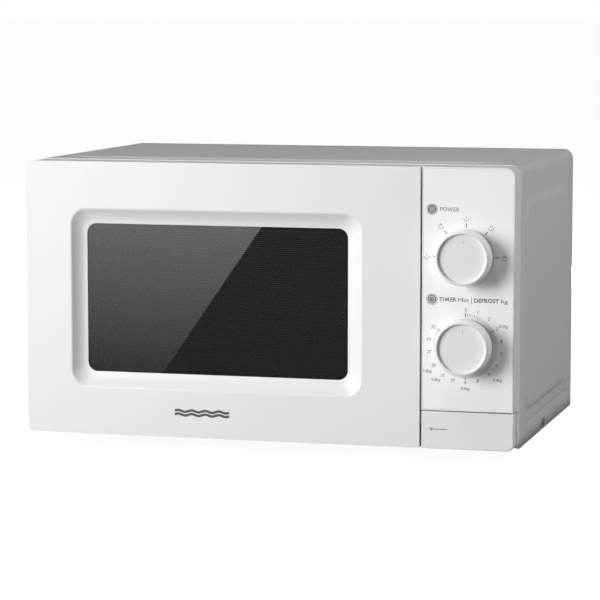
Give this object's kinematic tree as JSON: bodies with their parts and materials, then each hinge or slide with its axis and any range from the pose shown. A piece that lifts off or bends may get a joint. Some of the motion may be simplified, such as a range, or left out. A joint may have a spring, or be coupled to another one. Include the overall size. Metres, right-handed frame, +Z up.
{
  "type": "microwave oven",
  "caption": "Countertop microwave oven with a side-hinged windowed door, rotary power and timer dials, a push door release and a glass turntable in a pressed steel cabinet.",
  "frame": {"origin": "on the floor under the centre of the outer box", "axes": "+Z up, the door and dials face -Y, +X to the right seen from the front"},
  "size_m": [0.4444, 0.33, 0.2575],
  "materials": {
    "white_plastic": "satin moulded white",
    "panel_film": "matt printed film",
    "cabinet_paint": "fine powder coat",
    "zinc_steel": "zinc plated",
    "screw_steel": "plated",
    "spring_steel": "drawn wire",
    "bell_steel": "polished",
    "cavity_paint": "smooth enamel paint",
    "dark_plastic": "matt",
    "grey_plastic": "matt",
    "ivory_plastic": "natural nylon",
    "red_plastic": "matt",
    "foot_rubber": "matt",
    "mica": "mica sheet",
    "ferrite": "sintered",
    "core_iron": "varnished laminations",
    "copper": "enamelled copper",
    "fin_aluminium": "plain",
    "can_aluminium": "plain",
    "clear_glass": "clear, polished",
    "bulb_glass": "clear",
    "tinted_glass": "dark tinted, polished",
    "screen_paint": "perforated, black paint",
    "clear_film": "clear film",
    "circuit_board": "laminate"
  },
  "bodies": {
    "cabinet": {"outer_cabinet": "cabinet_paint", "base_plate": "zinc_steel", "rear_panel": "zinc_steel", "rear_spacers": "dark_plastic", "feet": "foot_rubber", "cabinet_screws": "screw_steel", "front_frame": "cavity_paint", "cavity_box": "cavity_paint", "waveguide": "zinc_steel", "waveguide_cover": "mica", "magnetron_yoke": "zinc_steel", "magnetron_magnets": "ferrite", "magnetron_fins": "fin_aluminium", "magnetron_tube": "copper", "transformer_core": "core_iron", "transformer_coils": "copper", "capacitor": "can_aluminium", "capacitor_clamp": "zinc_steel", "diode": "dark_plastic", "fan_shroud": "dark_plastic", "fan_motor": "core_iron", "air_guide": "grey_plastic", "turntable_motor": "zinc_steel", "lamp_socket": "ivory_plastic", "lamp_bulb": "bulb_glass", "thermal_cutouts": "dark_plastic", "filter_board": "circuit_board", "cord_gland": "foot_rubber", "door_hinges": "zinc_steel", "interlock_bracket": "white_plastic", "door_switches": "dark_plastic", "control_panel": "white_plastic", "panel_overlay": "panel_film", "button_spring": "spring_steel", "power_selector": "ivory_plastic", "timer_unit": "ivory_plastic", "timer_bell": "bell_steel"},
    "door": {"door_frame": "white_plastic", "door_glass": "tinted_glass", "door_screen": "screen_paint", "door_pan": "cavity_paint", "choke_cover": "grey_plastic", "inner_film": "clear_film", "latch_spring": "spring_steel"},
    "latch": {"latch_hooks": "ivory_plastic"},
    "button": {"release_button": "white_plastic"},
    "lever": {"release_lever": "ivory_plastic"},
    "plungers": {"switch_plungers": "red_plastic"},
    "power_dial": {"power_knob": "white_plastic", "power_shaft": "screw_steel"},
    "timer_dial": {"timer_knob": "white_plastic", "timer_shaft": "screw_steel"},
    "turntable": {"drive_coupler": "ivory_plastic", "turntable_plate": "clear_glass"},
    "ring": {"roller_ring": "ivory_plastic"},
    "roller_1": {"roller_1": "white_plastic"},
    "roller_2": {"roller_2": "white_plastic"},
    "roller_3": {"roller_3": "white_plastic"},
    "fan": {"fan_blade": "ivory_plastic"}
  },
  "joints": [
    {"name": "door_hinge", "type": "hinge", "parent": "cabinet", "child": "door", "pos_m": [-0.211, -0.1322, 0.134], "axis": [0, 0, -1], "range_deg": [0, 100]},
    {"name": "latch_lift", "type": "slide", "parent": "door", "child": "latch", "axis": [0, 0, 1], "range_m": [0, 0.003], "stiffness_N_per_m": 300, "springref_m": -0.003, "deforming": ["latch_spring"]},
    {"name": "button_press", "type": "slide", "parent": "cabinet", "child": "button", "axis": [0, 1, 0], "range_m": [0, 0.004], "stiffness_N_per_m": 500, "springref_m": -0.004, "deforming": ["button_spring"]},
    {"name": "lever_turn", "type": "hinge", "parent": "cabinet", "child": "lever", "pos_m": [0.13, -0.1082, 0.05], "axis": [1, 0, 0], "range_deg": [0, 12]},
    {"name": "plunger_press", "type": "slide", "parent": "cabinet", "child": "plungers", "axis": [0, 1, 0], "range_m": [0, 0.001], "stiffness_N_per_m": 300, "springref_m": -0.001},
    {"name": "power_turn", "type": "hinge", "parent": "cabinet", "child": "power_dial", "pos_m": [0.178, -0.1462, 0.1793], "axis": [0, 1, 0], "range_deg": [-90, 90]},
    {"name": "timer_turn", "type": "hinge", "parent": "cabinet", "child": "timer_dial", "pos_m": [0.178, -0.1462, 0.1027], "axis": [0, 1, 0], "range_deg": [0, 300]},
    {"name": "turntable_spin", "type": "hinge", "parent": "cabinet", "child": "turntable", "pos_m": [-0.047, 0.0168, 0.0506], "axis": [0, 0, 1], "continuous": true},
    {"name": "ring_spin", "type": "hinge", "parent": "cabinet", "child": "ring", "pos_m": [-0.047, 0.0168, 0.0433], "axis": [0, 0, 1], "continuous": true},
    {"name": "roller_1_spin", "type": "hinge", "parent": "ring", "child": "roller_1", "pos_m": [0.03527, 0.0643, 0.0433], "axis": [0.866, 0.5, 0], "continuous": true},
    {"name": "roller_2_spin", "type": "hinge", "parent": "ring", "child": "roller_2", "pos_m": [-0.12927, 0.0643, 0.0433], "axis": [-0.866, 0.5, 0], "continuous": true},
    {"name": "roller_3_spin", "type": "hinge", "parent": "ring", "child": "roller_3", "pos_m": [-0.047, -0.0782, 0.0433], "axis": [0, -1, 0], "continuous": true},
    {"name": "fan_spin", "type": "hinge", "parent": "cabinet", "child": "fan", "pos_m": [0.165, 0.1308, 0.15], "axis": [0, 1, 0], "continuous": true}
  ],
  "couplings": [
    {"joint": "lever_turn", "follows": "button_press", "rad_per_m": 50},
    {"joint": "ring_spin", "follows": "turntable_spin", "ratio": 0.5},
    {"joint": "roller_1_spin", "follows": "turntable_spin", "ratio": -6.7857},
    {"joint": "roller_2_spin", "follows": "turntable_spin", "ratio": -6.7857},
    {"joint": "roller_3_spin", "follows": "turntable_spin", "ratio": -6.7857}
  ]
}
